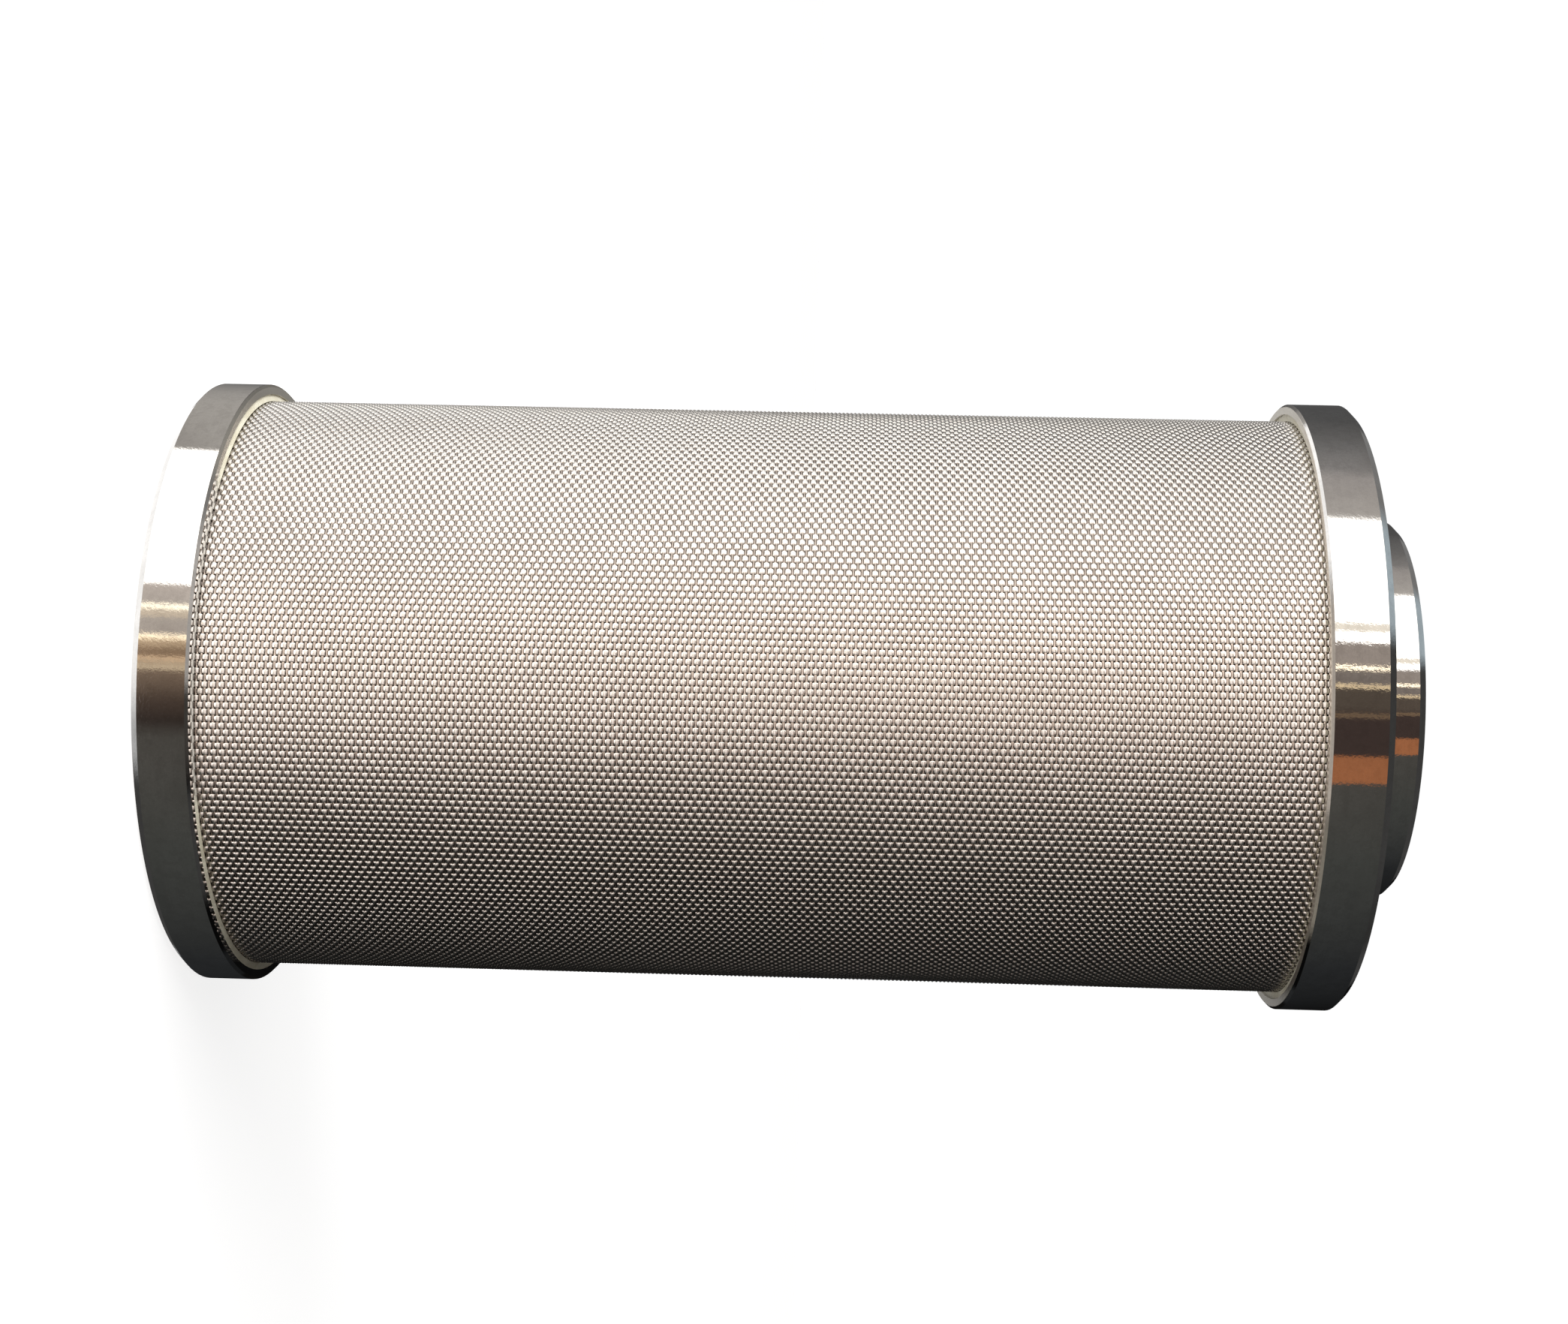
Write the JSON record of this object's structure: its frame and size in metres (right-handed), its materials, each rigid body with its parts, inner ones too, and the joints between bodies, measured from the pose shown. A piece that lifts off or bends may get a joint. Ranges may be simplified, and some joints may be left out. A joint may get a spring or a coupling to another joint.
{
  "type": "filter element",
  "caption": "Cylindrical filter element with a woven wire mesh sleeve between two turned end caps, one closed and one with a bored boss.",
  "frame": {"origin": "centre of the closed end cap's outer face, on which the element stands", "axes": "+Z along the element's axis, from the closed cap to the open cap's boss"},
  "size_m": [0.08, 0.08, 0.156],
  "materials": {
    "cap_steel": "fine turned, bright",
    "mesh_steel": "bright woven wire",
    "cloth_steel": "fine dull weave",
    "core_steel": "rolled, dull",
    "adhesive": "cured cream resin",
    "seal_rubber": "smooth black rubber"
  },
  "bodies": {
    "root": {"end_cap_closed": "cap_steel", "end_cap_open": "cap_steel", "outer_mesh": "mesh_steel", "filter_cloth": "cloth_steel", "drainage_mesh": "cloth_steel", "core_tube": "core_steel", "adhesive_closed_end": "adhesive", "adhesive_open_end": "adhesive", "bore_seal_ring": "seal_rubber"}
  },
  "joints": []
}
